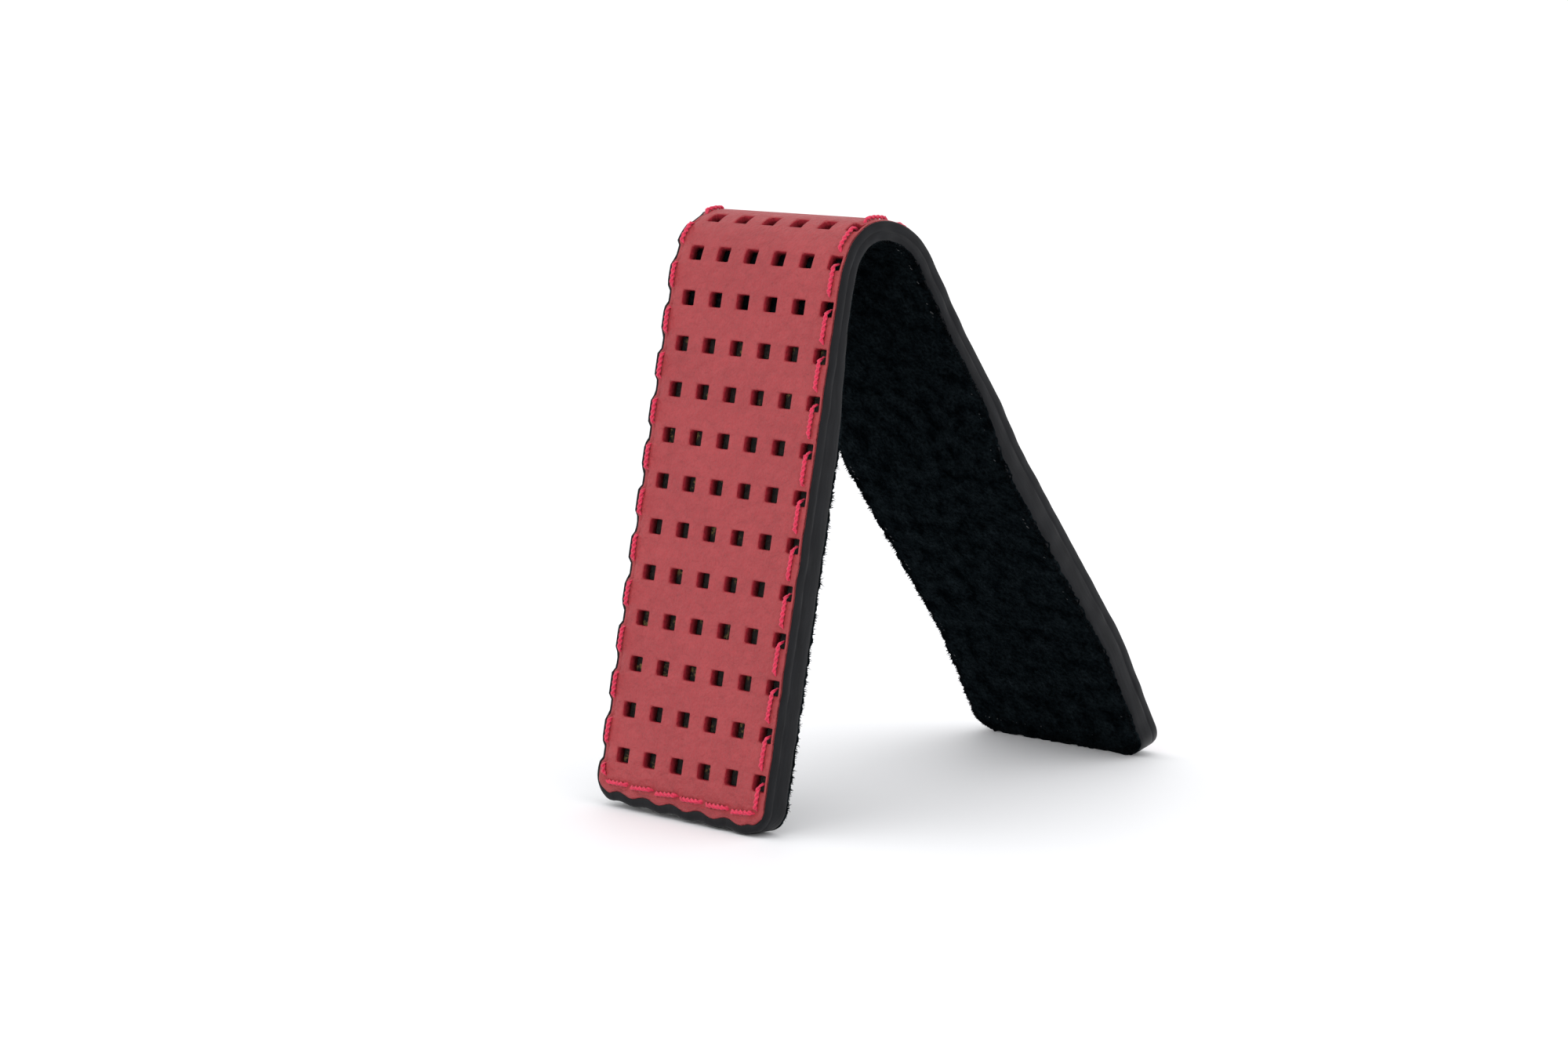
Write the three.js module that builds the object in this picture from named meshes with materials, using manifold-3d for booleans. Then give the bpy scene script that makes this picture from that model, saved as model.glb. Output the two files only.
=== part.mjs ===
// A folding magnetic clip of leather: one layered strap, folded over and standing on its two free ends.
// Millimetres, +Z up. X runs across the strap, and the front leg stands on the -Y side.
// The origin is on the ground, under the middle of the clip.
import * as THREE from "three";
import { mergeVertices } from "three/addons/utils/BufferGeometryUtils.js";
import Module from "manifold-3d";

const wasm = await Module();
wasm.setup();

// ---- Driving dimensions ----

// Layers of the strap, from the outside in.
const STRAP_WIDTH = 26.4;
const CORNER_RADIUS = 3; // the four corners of the two free ends
const FACING_THICKNESS = 1.2;
const FILLER_THICKNESS = 1.2;
const LINING_THICKNESS = 1.2;
const CEMENT = 0.1; // film of contact cement between two layers

// The fillers stiffen the legs and stop short of the bend, where they are skived to a thin edge.
const FILLER_LENGTH = 56; // from the free end
const SKIVE_LENGTH = 12;
const SKIVED_EDGE = 0.2; // what is left of the thickness at the end of the skive

// Side view of the outer face: the front leg leans, the bend tightens over the top,
// and the back leg runs down in short straights that follow what is inside it.
const FRONT_LEAN = 11; // degrees from upright
const FRONT_RUN = 59.8;
const SHOULDER = { radius: 14, degrees: 15.5 };
const CREST = { radius: 6.6, degrees: 65.5 };
const BACK_SHOULDER = { radius: 10, degrees: 54 };
const KINK_RADIUS = 25;
const UPPER_RUN = 9.5;
const UPPER_KINK = 3.5; // degrees, positive lifts the run that follows
const MIDDLE_RUN = 9.2;
const MIDDLE_KINK = -6.3;
const SHORT_RUN = 2;
const MAGNET_KINK = 7.5;
const FOOT_KINK = -8.3;
const ARC_STEP = 11; // degrees of bend per facet

// Punched pattern of the facing.
const HOLE_ACROSS = 2.05;
const HOLE_ALONG = 1.85;
const PITCH_ACROSS = 4.26;
const PITCH_ALONG = 5.2;
const LAST_COLUMN_INSET = 1.45; // from the straight +X edge to the middle of the nearest column
const FIRST_ROW_INSET = 0.2; // from the front free end to the row of holes that it cuts through

// Magnets: two discs in each leg, in round pockets of the filler that open towards the lining.
// Those of the two legs meet when the clip closes.
const MAGNET_DIAMETER = 12;
const MAGNET_GAP = 1.2; // between two discs of one leg
const POCKET_CLEARANCE = 0.3; // round the disc
const POCKET_FLOOR = 0.25; // filler leather that is left between the pocket and the facing
const POCKET_FILM = 0.05; // between the disc and the pocket's floor
const POCKET_SPARE = 0.1; // from the disc up to the filler's face
const MAGNET_THICKNESS = FILLER_THICKNESS - POCKET_FLOOR - POCKET_FILM - POCKET_SPARE;
const STRAIGHT_MARGIN = 1.35; // of straight strap past the pockets, before it may bend
const MAGNET_RUN = 2 * (MAGNET_DIAMETER + POCKET_CLEARANCE + STRAIGHT_MARGIN) + MAGNET_GAP;

// Stitching: a needle thread outside and a bobbin thread inside, each sunk in a groove.
// Down the sides one stitch runs from each row of punched holes to the next.
const END_STITCH = 4; // across the free end
const SHORTEST_STITCH = 1.6; // next to a corner or to the fold
const EDGE_INSET = 1.4; // from the strap's side to the stitch line
const END_INSET = 2.4; // from the free end to the stitch line
const THREAD_RADIUS = 0.25;
const THREAD_SIDES = 5;
const THREAD_DEPTH = 0.32; // of the thread's middle, below the leather's face
const DIP_DEPTH = 0.8; // of the thread's middle, where it turns down into a needle hole
const DIP_REACH = 0.6;
const GROOVE_WIDTH = 0.8;
const GROOVE_DEPTH = 0.62;
const NEEDLE_HOLE_REACH = 0.85; // half of the diagonal of a diamond-shaped hole

// The fold: the strap bends about a line on the inner face of the bend.
const FOLD_TANGENT = 11; // slope in degrees of the outer face where the two halves part
const OPENING_LIMIT = 43; // degrees that the back leg opens from rest
const FOLD_GAP = 0.3;
const FOLD_MARGIN = 1; // degrees of relief beyond the limit

const PAST = 1; // how far a cutter runs past the face that it cuts

const LEATHER_RED = { color: 0x8f1f26, roughness: 0.55, metalness: 0 };
const LEATHER_BLACK = { color: 0x17181b, roughness: 0.45, metalness: 0 };
const SUEDE_BLACK = { color: 0x0b0f12, roughness: 0.95, metalness: 0 };
const THREAD_RED = { color: 0xc8142e, roughness: 0.6, metalness: 0 };
const THREAD_BLACK = { color: 0x101012, roughness: 0.7, metalness: 0 };
const NICKEL = { color: 0xb9bcc0, roughness: 0.25, metalness: 1 };

const radians = THREE.MathUtils.degToRad;
const degrees = THREE.MathUtils.radToDeg;

// ---- Side profile ----

// Walks the outer face as a chain of runs and turns. Each piece keeps its length, place and slope at its start.
function profileOf(steps, start) {
  const pieces = [];
  let { y, z, slope } = start;
  let s = 0;
  for (const step of steps) {
    const turn = radians(step.degrees ?? 0);
    const length = step.run ?? step.radius * Math.abs(turn);
    const piece = { s, y, z, slope, length, turn };
    pieces.push(piece);
    ({ y, z, slope } = along(piece, length));
    s += length;
  }
  return { pieces, length: s, end: { y, z, slope } };
}

// The point and slope at a distance along one piece of the profile.
function along(piece, distance) {
  const { y, z, slope, length, turn } = piece;
  if (!turn) {
    return { y: y + distance * Math.cos(slope), z: z + distance * Math.sin(slope), slope };
  }
  const radius = length / turn;
  const next = slope + distance / radius;
  return {
    y: y + radius * (Math.sin(next) - Math.sin(slope)),
    z: z - radius * (Math.cos(next) - Math.cos(slope)),
    slope: next,
  };
}

const STACK = FACING_THICKNESS + FILLER_THICKNESS + LINING_THICKNESS + 2 * CEMENT;
const FRONT_SLOPE = radians(90 - FRONT_LEAN);
const STEPS = [
  { run: FRONT_RUN },
  { radius: SHOULDER.radius, degrees: -SHOULDER.degrees },
  { radius: CREST.radius, degrees: -CREST.degrees },
  { radius: BACK_SHOULDER.radius, degrees: -BACK_SHOULDER.degrees },
  { run: UPPER_RUN },
  { radius: KINK_RADIUS, degrees: UPPER_KINK },
  { run: MIDDLE_RUN },
  { radius: KINK_RADIUS, degrees: MIDDLE_KINK },
  { run: SHORT_RUN },
  { radius: KINK_RADIUS, degrees: MAGNET_KINK },
  { run: MAGNET_RUN },
  { radius: KINK_RADIUS, degrees: FOOT_KINK },
];
const MAGNET_STEP = 10;

// The front leg stands on its inner corner, and the last run is as long as brings the back one to the ground.
const FRONT_TOE = STACK * Math.cos(FRONT_SLOPE);
const unfooted = profileOf(STEPS, { y: 0, z: FRONT_TOE, slope: FRONT_SLOPE }).end;
const FOOT_RUN = (unfooted.z - STACK * Math.cos(unfooted.slope)) / Math.sin(-unfooted.slope);
const centring = -(unfooted.y + FOOT_RUN * Math.cos(unfooted.slope)) / 2;
const PROFILE = profileOf([...STEPS, { run: FOOT_RUN }], { y: centring, z: FRONT_TOE, slope: FRONT_SLOPE });
const LENGTH = PROFILE.length;

// The outer face's point, tangent and outward normal at a distance s from the front free end.
function frameAt(s) {
  const piece = PROFILE.pieces.findLast((p) => p.s <= s) ?? PROFILE.pieces[0];
  const { y, z, slope } = along(piece, s - piece.s);
  return {
    point: new THREE.Vector3(0, y, z),
    tangent: new THREE.Vector3(0, Math.cos(slope), Math.sin(slope)),
    normal: new THREE.Vector3(0, -Math.sin(slope), Math.cos(slope)),
  };
}

function place(x, s, depth) {
  const { point, normal } = frameAt(s);
  return point.clone().addScaledVector(normal, -depth).setX(x);
}

// The distance s at which the outer face has a given slope, inside the bend.
function stationOfSlope(slope) {
  const piece = PROFILE.pieces[2];
  return piece.s + ((slope - piece.slope) / piece.turn) * piece.length;
}

// ---- Layer depths, below the outer face ----

const fromEnd = (s) => Math.min(s, LENGTH - s);

// How far the filler lifts the lining off the facing: full in the leg, nothing in the bend.
function fillerLift(s) {
  const share = (FILLER_LENGTH - fromEnd(s)) / SKIVE_LENGTH;
  return (FILLER_THICKNESS + CEMENT) * THREE.MathUtils.clamp(share, 0, 1);
}

const fillerTop = () => FACING_THICKNESS + CEMENT;
const fillerBottom = (s) => FACING_THICKNESS + fillerLift(s);
const liningTop = (s) => FACING_THICKNESS + CEMENT + fillerLift(s);
const liningBottom = (s) => liningTop(s) + LINING_THICKNESS;
const SKIVED_LIFT = CEMENT + SKIVED_EDGE;
const FILLER_REACH = FILLER_LENGTH - (SKIVE_LENGTH * SKIVED_LIFT) / (FILLER_THICKNESS + CEMENT);

const FOLD_STATION = stationOfSlope(radians(FOLD_TANGENT));
const FOLD_DEPTH = liningBottom(FOLD_STATION);

// Every s between two limits at which a profile or a layer changes direction.
function stationsBetween(from, to) {
  const marks = [FILLER_LENGTH, FILLER_LENGTH - SKIVE_LENGTH].flatMap((u) => [u, LENGTH - u]);
  for (const { s, length, turn } of PROFILE.pieces) {
    const facets = turn ? Math.ceil(Math.abs(degrees(turn)) / ARC_STEP) : 1;
    for (let i = 0; i < facets; i++) {
      marks.push(s + (length * i) / facets);
    }
  }
  const closest = 0.05;
  const inside = marks.filter((s) => s > from + closest && s < to - closest).sort((a, b) => a - b);
  return inside.filter((s, i) => !i || s - inside[i - 1] > closest);
}

// ---- Solids ----

function solidOf(geometry) {
  const bare = geometry.index ? geometry.toNonIndexed() : geometry.clone();
  bare.deleteAttribute("normal");
  bare.deleteAttribute("uv");
  const merged = mergeVertices(bare, 1e-4);
  return new wasm.Manifold(
    new wasm.Mesh({
      numProp: 3,
      vertProperties: new Float32Array(merged.attributes.position.array),
      triVerts: new Uint32Array(merged.index.array),
    }),
  );
}

function geometryOf(solid) {
  const { vertProperties, triVerts } = solid.getMesh();
  const geometry = new THREE.BufferGeometry();
  geometry.setAttribute("position", new THREE.BufferAttribute(vertProperties, 3));
  geometry.setIndex(new THREE.BufferAttribute(triVerts, 1));
  geometry.computeVertexNormals();
  return geometry;
}

const union = (solids) => solids.reduce((sum, solid) => sum.add(solid));

// A side-view outline of [y, z] points, run across the strap from one x to another.
function across(outline, fromX, toX) {
  const shape = new THREE.Shape(outline.map((p) => new THREE.Vector2(p.y, p.z)));
  const geometry = new THREE.ExtrudeGeometry(shape, { depth: toX - fromX, bevelEnabled: false });
  const basis = new THREE.Matrix4().makeBasis(
    new THREE.Vector3(0, 1, 0),
    new THREE.Vector3(0, 0, 1),
    new THREE.Vector3(1, 0, 0),
  );
  return solidOf(geometry.applyMatrix4(basis.setPosition(fromX, 0, 0)));
}

// A stretch of one layer, between two depths that may change along the strap.
function band(from, to, top, bottom, fromX, toX) {
  const stations = [from, ...stationsBetween(from, to), to];
  const outer = stations.map((s) => place(0, s, top(s)));
  const inner = stations.map((s) => place(0, s, bottom(s))).reverse();
  return across([...inner, ...outer], fromX, toX);
}

// Stands a geometry on the strap: its X across, its Y along the strap and its Z outwards.
function stand(geometry, x, s, depth) {
  const { tangent, normal } = frameAt(s);
  const basis = new THREE.Matrix4().makeBasis(new THREE.Vector3(1, 0, 0), tangent, normal);
  return solidOf(geometry.applyMatrix4(basis.setPosition(place(x, s, depth))));
}

function discGeometry(radius, thickness, sides) {
  return new THREE.CylinderGeometry(radius, radius, thickness, sides).rotateX(Math.PI / 2);
}

// ---- Cutters ----

// What rounds the two corners of a free end, through every layer.
function cornerCutter(half) {
  const shape = new THREE.Shape();
  shape.moveTo(PAST, -PAST);
  shape.lineTo(PAST, CORNER_RADIUS);
  shape.lineTo(0, CORNER_RADIUS);
  shape.absarc(-CORNER_RADIUS, CORNER_RADIUS, CORNER_RADIUS, 0, -Math.PI / 2, true);
  shape.lineTo(-CORNER_RADIUS, -PAST);
  const depth = STACK + 2 * PAST;
  return union(
    [1, -1].map((side) => {
      const geometry = new THREE.ExtrudeGeometry(shape, { depth, bevelEnabled: false, curveSegments: 5 });
      geometry.translate(0, 0, -depth / 2);
      if (side !== half.inward) {
        geometry.rotateY(Math.PI);
      }
      if (half.inward < 0) {
        geometry.rotateZ(Math.PI);
      }
      return stand(geometry, (side * STRAP_WIDTH) / 2, half.end, STACK / 2);
    }),
  );
}

// The wedge of room at the fold that lets the two halves turn towards each other outside the hinge line.
function foldRelief() {
  const { tangent } = frameAt(FOLD_STATION);
  const spread = Math.tan(radians(OPENING_LIMIT / 2 + FOLD_MARGIN));
  const corner = (depth, side) => {
    const reach = FOLD_GAP / 2 + Math.max(0, FOLD_DEPTH - depth) * spread;
    return place(0, FOLD_STATION, depth).addScaledVector(tangent, side * reach);
  };
  const outline = [
    corner(FOLD_DEPTH + PAST, -1),
    corner(FOLD_DEPTH + PAST, 1),
    corner(FOLD_DEPTH, 1),
    corner(-PAST, 1),
    corner(-PAST, -1),
    corner(FOLD_DEPTH, -1),
  ];
  return across(outline, -STRAP_WIDTH, STRAP_WIDTH);
}

// Every row of punched holes on one half, as distances s, with those that the half's ends cut through.
function rowsOf(half) {
  const rows = [];
  for (let s = FIRST_ROW_INSET; s < half.to + HOLE_ALONG; s += PITCH_ALONG) {
    if (s > half.from - HOLE_ALONG) {
      rows.push(s);
    }
  }
  return rows;
}

// The punched holes: rows along the whole strap, columns counted in from the +X edge.
// The last column and the first row lie on the strap's edges, which they notch.
function punchedHoles(half) {
  const depth = FACING_THICKNESS + 2 * PAST;
  const first = STRAP_WIDTH / 2 - LAST_COLUMN_INSET;
  const holes = [];
  for (const s of rowsOf(half)) {
    for (let x = first; x > -(STRAP_WIDTH + HOLE_ACROSS) / 2; x -= PITCH_ACROSS) {
      const box = new THREE.BoxGeometry(HOLE_ACROSS, HOLE_ALONG, depth);
      holes.push(stand(box, x, s, FACING_THICKNESS / 2));
    }
  }
  return union(holes);
}

// ---- Stitching ----

// Needle holes of one half, as [x, s]: down one side from the fold, across the free end and up the other side.
// On the sides they line up with the rows of punched holes.
function needleHoles(half) {
  const x = STRAP_WIDTH / 2 - EDGE_INSET;
  const turn = half.end + half.inward * END_INSET;
  const fromTurn = (s) => half.inward * (s - turn);
  const longest = fromTurn(half.fold) - SHORTEST_STITCH;
  const sewn = rowsOf(half).filter((s) => fromTurn(s) > SHORTEST_STITCH && fromTurn(s) < longest);
  const down = sewn.sort((a, b) => fromTurn(b) - fromTurn(a)).map((s) => [x, s]);
  const endCount = Math.round((2 * x) / END_STITCH);
  const over = Array.from({ length: endCount + 1 }, (_, i) => [x - (2 * x * i) / endCount, turn]);
  const up = down.map(([, s]) => [-x, s]).reverse();
  return [...down, ...over, ...up];
}

// A thread that lies along the leather between needle holes and dips into each of them.
class StitchRun extends THREE.Curve {
  constructor(points) {
    super();
    this.points = points;
  }
  getPoint(t) {
    const last = this.points.length - 1;
    const position = THREE.MathUtils.clamp(t, 0, 1) * last;
    const i = Math.min(Math.floor(position), last - 1);
    return this.points[i].clone().lerp(this.points[i + 1], position - i);
  }
  getPointAt(u) {
    return this.getPoint(u);
  }
  getTangentAt(u) {
    return this.getTangent(u);
  }
}

// The thread of one half. depthAt(s, below) turns a depth below the sewn face into one below the outer face.
function threadSolid(half, depthAt) {
  const holes = needleHoles(half);
  const points = [];
  holes.forEach(([x, s], i) => {
    points.push(place(x, s, depthAt(s, DIP_DEPTH)));
    if (i === holes.length - 1) return;
    const [nextX, nextS] = holes[i + 1];
    const length = Math.abs(nextX - x) + Math.abs(nextS - s);
    const share = DIP_REACH / length;
    const turns = stationsBetween(Math.min(s, nextS) + DIP_REACH, Math.max(s, nextS) - DIP_REACH);
    const shares = turns.map((at) => (at - s) / (nextS - s)).sort((a, b) => a - b);
    for (const t of [share, ...shares, 1 - share]) {
      const at = s + (nextS - s) * t;
      points.push(place(x + (nextX - x) * t, at, depthAt(at, THREAD_DEPTH)));
    }
  });
  const section = new THREE.Shape();
  const corners = Array.from({ length: THREAD_SIDES }, (_, i) => (2 * Math.PI * i) / THREAD_SIDES);
  section.setFromPoints(
    corners.map((a) => new THREE.Vector2(THREAD_RADIUS * Math.cos(a), THREAD_RADIUS * Math.sin(a))),
  );
  const extrudePath = new StitchRun(points);
  return solidOf(new THREE.ExtrudeGeometry(section, { steps: points.length - 1, extrudePath }));
}

// The grooves and needle holes of one half, cut into one sewn face.
function stitchCutter(half, depthAt) {
  const x = STRAP_WIDTH / 2 - EDGE_INSET;
  const turn = half.end + half.inward * END_INSET;
  const sides = [Math.min(turn, half.fold), Math.max(turn, half.fold)];
  const shallowest = (s) => Math.min(depthAt(s, -PAST), depthAt(s, GROOVE_DEPTH));
  const deepest = (s) => Math.max(depthAt(s, -PAST), depthAt(s, GROOVE_DEPTH));
  const grooves = [x, -x].map((middle) =>
    band(...sides, shallowest, deepest, middle - GROOVE_WIDTH / 2, middle + GROOVE_WIDTH / 2),
  );
  const end = new THREE.BoxGeometry(2 * x + GROOVE_WIDTH, GROOVE_WIDTH, GROOVE_DEPTH + PAST);
  grooves.push(stand(end, 0, turn, depthAt(turn, (GROOVE_DEPTH - PAST) / 2)));
  const holeLength = DIP_DEPTH + THREAD_RADIUS + PAST + CEMENT;
  const holes = needleHoles(half).map(([holeX, s]) => {
    const disc = discGeometry(NEEDLE_HOLE_REACH, holeLength, 4);
    return stand(disc, holeX, s, depthAt(s, holeLength / 2 - PAST));
  });
  return union([...grooves, ...holes]);
}

const belowFacing = (s, below) => below;
const belowLining = (s, below) => liningBottom(s) - below;

// ---- The two halves of the clip ----

const MAGNETS_FROM_FOLD = PROFILE.pieces[MAGNET_STEP].s + MAGNET_RUN / 2 - FOLD_STATION;
const RELIEF = foldRelief();
const HALVES = [
  { name: "front", from: 0, to: FOLD_STATION, end: 0, fold: FOLD_STATION, inward: 1 },
  { name: "back", from: FOLD_STATION, to: LENGTH, end: LENGTH, fold: FOLD_STATION, inward: -1 },
];

function layer(half, top, bottom) {
  const solid = band(half.from, half.to, top, bottom, -STRAP_WIDTH / 2, STRAP_WIDTH / 2);
  return solid.subtract(RELIEF).subtract(cornerCutter(half));
}

function facing(half) {
  const leather = layer(half, () => 0, () => FACING_THICKNESS);
  return leather.subtract(punchedHoles(half)).subtract(stitchCutter(half, belowFacing));
}

function lining(half) {
  return layer(half, liningTop, liningBottom).subtract(stitchCutter(half, belowLining));
}

const magnetStations = (half) =>
  [1, -1].map((step) => {
    const reach = MAGNETS_FROM_FOLD + (step * (MAGNET_DIAMETER + MAGNET_GAP)) / 2;
    return half.fold - half.inward * reach;
  });
const POCKET_DEPTH = FACING_THICKNESS + CEMENT + POCKET_FLOOR; // of the pocket's floor, below the outer face

function filler(half) {
  const reach = [half.end, half.end + half.inward * FILLER_REACH].sort((a, b) => a - b);
  const stretch = band(...reach, fillerTop, fillerBottom, -STRAP_WIDTH / 2, STRAP_WIDTH / 2);
  const pockets = magnetStations(half).map((s) => {
    const disc = discGeometry(MAGNET_DIAMETER / 2 + POCKET_CLEARANCE, STACK, 32);
    return stand(disc, 0, s, POCKET_DEPTH + STACK / 2);
  });
  return stretch.subtract(cornerCutter(half)).subtract(union(pockets));
}

function magnet(s) {
  const disc = discGeometry(MAGNET_DIAMETER / 2, MAGNET_THICKNESS, 32);
  return stand(disc, 0, s, POCKET_DEPTH + POCKET_FILM + MAGNET_THICKNESS / 2);
}

function addMesh(group, name, solid, look) {
  const mesh = new THREE.Mesh(geometryOf(solid), new THREE.MeshStandardMaterial(look));
  mesh.name = name;
  group.add(mesh);
}

function halfOfClip(half) {
  const group = new THREE.Group();
  addMesh(group, `facing_${half.name}`, facing(half), LEATHER_RED);
  addMesh(group, `filler_${half.name}`, filler(half), LEATHER_BLACK);
  addMesh(group, `lining_${half.name}`, lining(half), SUEDE_BLACK);
  const places = ["lower", "upper"];
  magnetStations(half).forEach((s, i) => {
    addMesh(group, `magnet_${half.name}_${places[i]}`, magnet(s), NICKEL);
  });
  addMesh(group, `needle_thread_${half.name}`, threadSolid(half, belowFacing), THREAD_RED);
  addMesh(group, `bobbin_thread_${half.name}`, threadSolid(half, belowLining), THREAD_BLACK);
  return group;
}

const clip = new THREE.Group();
clip.add(...HALVES.map(halfOfClip));

export default clip;
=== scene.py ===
import math
import random

import bmesh
import bpy
from mathutils import Matrix, Vector, noise


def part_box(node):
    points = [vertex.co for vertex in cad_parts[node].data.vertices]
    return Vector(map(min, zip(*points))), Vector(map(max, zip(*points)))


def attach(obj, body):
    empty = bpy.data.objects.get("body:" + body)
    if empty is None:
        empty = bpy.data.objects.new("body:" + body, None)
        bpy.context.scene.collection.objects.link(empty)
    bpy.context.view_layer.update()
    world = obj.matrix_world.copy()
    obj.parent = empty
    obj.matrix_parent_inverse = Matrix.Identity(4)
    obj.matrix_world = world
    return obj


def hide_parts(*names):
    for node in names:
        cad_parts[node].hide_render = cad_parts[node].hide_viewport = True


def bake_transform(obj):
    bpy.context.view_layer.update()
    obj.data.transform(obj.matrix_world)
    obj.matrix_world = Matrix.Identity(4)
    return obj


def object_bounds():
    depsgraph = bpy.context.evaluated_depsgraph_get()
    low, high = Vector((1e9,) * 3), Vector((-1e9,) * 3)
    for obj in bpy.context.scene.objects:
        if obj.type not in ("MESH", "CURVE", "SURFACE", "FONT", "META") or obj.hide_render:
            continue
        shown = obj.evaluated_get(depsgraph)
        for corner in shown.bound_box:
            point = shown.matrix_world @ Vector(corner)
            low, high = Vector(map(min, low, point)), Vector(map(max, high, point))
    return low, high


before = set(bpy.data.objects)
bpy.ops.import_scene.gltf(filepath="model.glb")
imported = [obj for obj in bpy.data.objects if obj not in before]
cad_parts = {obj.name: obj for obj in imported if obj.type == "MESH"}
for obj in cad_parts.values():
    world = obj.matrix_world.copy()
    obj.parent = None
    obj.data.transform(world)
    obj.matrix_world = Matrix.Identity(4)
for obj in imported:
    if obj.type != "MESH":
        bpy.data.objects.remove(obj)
cad_low, cad_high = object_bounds()
mm = 0.001

# ---------------------------------------------------------------------------
# Table, light and camera. The clip stands like a tent on a white table in a
# bright, even room, and the camera looks at its front leg and its +X edge.
# ---------------------------------------------------------------------------


def place_camera(azimuth, elevation, roll, distance, aim, lens):
    a, e = math.radians(azimuth), math.radians(elevation)
    back = Vector((math.sin(a) * math.cos(e), -math.cos(a) * math.cos(e), math.sin(e)))
    right = Vector((math.cos(a), math.sin(a), 0))
    turn = Matrix((right, back.cross(right), back)).transposed()
    camera = bpy.data.objects.new("camera", bpy.data.cameras.new("camera"))
    camera.matrix_world = Matrix.Translation(aim + back * distance) @ turn.to_4x4()
    camera.matrix_world = camera.matrix_world @ Matrix.Rotation(math.radians(roll), 4, "Z")
    camera.data.lens = lens
    camera.data.sensor_width = 36
    camera.data.clip_end = 20
    bpy.context.scene.collection.objects.link(camera)
    bpy.context.scene.camera = camera


place_camera(43.64, 7.77, 0.56, 440.5 * mm, Vector((0.95, -18.97, 32.12)) * mm, 90)


def new_object(name, bm, *materials):
    """A mesh object at the origin from a finished bmesh."""
    mesh = bpy.data.meshes.new(name)
    bm.to_mesh(mesh)
    bm.free()
    mesh.shade_smooth()
    for material in materials:
        mesh.materials.append(material)
    made = bpy.data.objects.new(name, mesh)
    bpy.context.scene.collection.objects.link(made)
    return made


def new_material(name, color, roughness):
    """A principled material, its tree and its shader, ready for its pattern."""
    material = bpy.data.materials.new(name)
    material.use_nodes = True
    tree = material.node_tree
    shader = tree.nodes["Principled BSDF"]
    shader.inputs["Base Color"].default_value = (*color, 1)
    shader.inputs["Roughness"].default_value = roughness
    return material, tree, shader


table_white = (0.92, 0.925, 0.945)
table_material, _, table_shader = new_material("table_white", table_white, 0.6)
table_shader.inputs["Specular IOR Level"].default_value = 0.2
bm = bmesh.new()
bmesh.ops.create_grid(bm, x_segments=1, y_segments=1, size=60)
table = new_object("table", bm, table_material)

world = bpy.data.worlds.new("room")
world.use_nodes = True
world.node_tree.nodes["Background"].inputs["Color"].default_value = (1, 1, 1, 1)
world.node_tree.nodes["Background"].inputs["Strength"].default_value = 1.1
bpy.context.scene.world = world
bpy.context.scene.view_settings.view_transform = "Standard"


def add_softbox(name, place, aim, width, height, watts):
    light = bpy.data.objects.new(name, bpy.data.lights.new(name, "AREA"))
    light.data.shape = "RECTANGLE"
    light.data.size = width
    light.data.size_y = height
    light.data.energy = watts
    light.location = place
    light.rotation_euler = (Vector(aim) - Vector(place)).to_track_quat("-Z", "Y").to_euler()
    bpy.context.scene.collection.objects.link(light)


add_softbox("side_panel", (0.5, -0.1, 0.25), (0, 0, 0.03), 0.25, 0.5, 0.35)
daylight = bpy.data.objects.new("daylight", bpy.data.lights.new("daylight", "SUN"))
daylight.data.energy = 0.55
daylight.data.angle = math.radians(60)
daylight.rotation_euler = Vector((0.35, 0.6, -0.75)).to_track_quat("-Z", "Y").to_euler()
bpy.context.scene.collection.objects.link(daylight)

# ---------------------------------------------------------------------------
# The strap's course. Every layer is cut flat and then laid along this line:
# up the front leg, over the bend and down the back leg, with a straight
# stretch where the magnets stiffen the back leg.
# ---------------------------------------------------------------------------

width = (cad_high - cad_low).x
facing_thickness = 1.2 * mm
filler_thickness = 1.2 * mm
lining_thickness = 1.2 * mm
cement = 0.1 * mm
stack = facing_thickness + filler_thickness + lining_thickness + 2 * cement
front_slope = math.radians(79)
kink_radius = 25 * mm
fold_slope = math.radians(11)
front_slant = 0.5 * mm
back_slant = 0.95 * mm
front_skew = 0.6 * mm
slant_length = 7 * mm

# Each step is a length, and the radius and the degrees that it turns through, if it turns.
steps = [(59.8 * mm, None, 0)]
for radius, degrees in ((14 * mm, -15.5), (6.6 * mm, -65.5), (10 * mm, -54)):
    steps.append((radius * math.radians(abs(degrees)), radius, degrees))
for run, degrees in ((9.5 * mm, 3.5), (9.2 * mm, -6.3), (2 * mm, 7.5), (28.5 * mm, -8.3)):
    steps.append((run, None, 0))
    steps.append((kink_radius * math.radians(abs(degrees)), kink_radius, degrees))


def smooth(a, b, value):
    t = min(1, max(0, (value - a) / (b - a)))
    return t * t * (3 - 2 * t)


def walk(step, distance):
    """The point and slope at a distance along one step of the course."""
    s, y, z, slope, length, turn = step
    if not turn:
        return y + distance * math.cos(slope), z + distance * math.sin(slope), slope
    radius = length / turn
    after = slope + distance / radius
    y += radius * (math.sin(after) - math.sin(slope))
    z -= radius * (math.cos(after) - math.cos(slope))
    return y, z, after


def lay_course(steps, y, z, slope):
    course, s = [], 0
    for length, _, degrees in steps:
        course.append((s, y, z, slope, length, math.radians(degrees)))
        y, z, slope = walk(course[-1], length)
        s += length
    return course, s, y, z, slope


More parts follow.
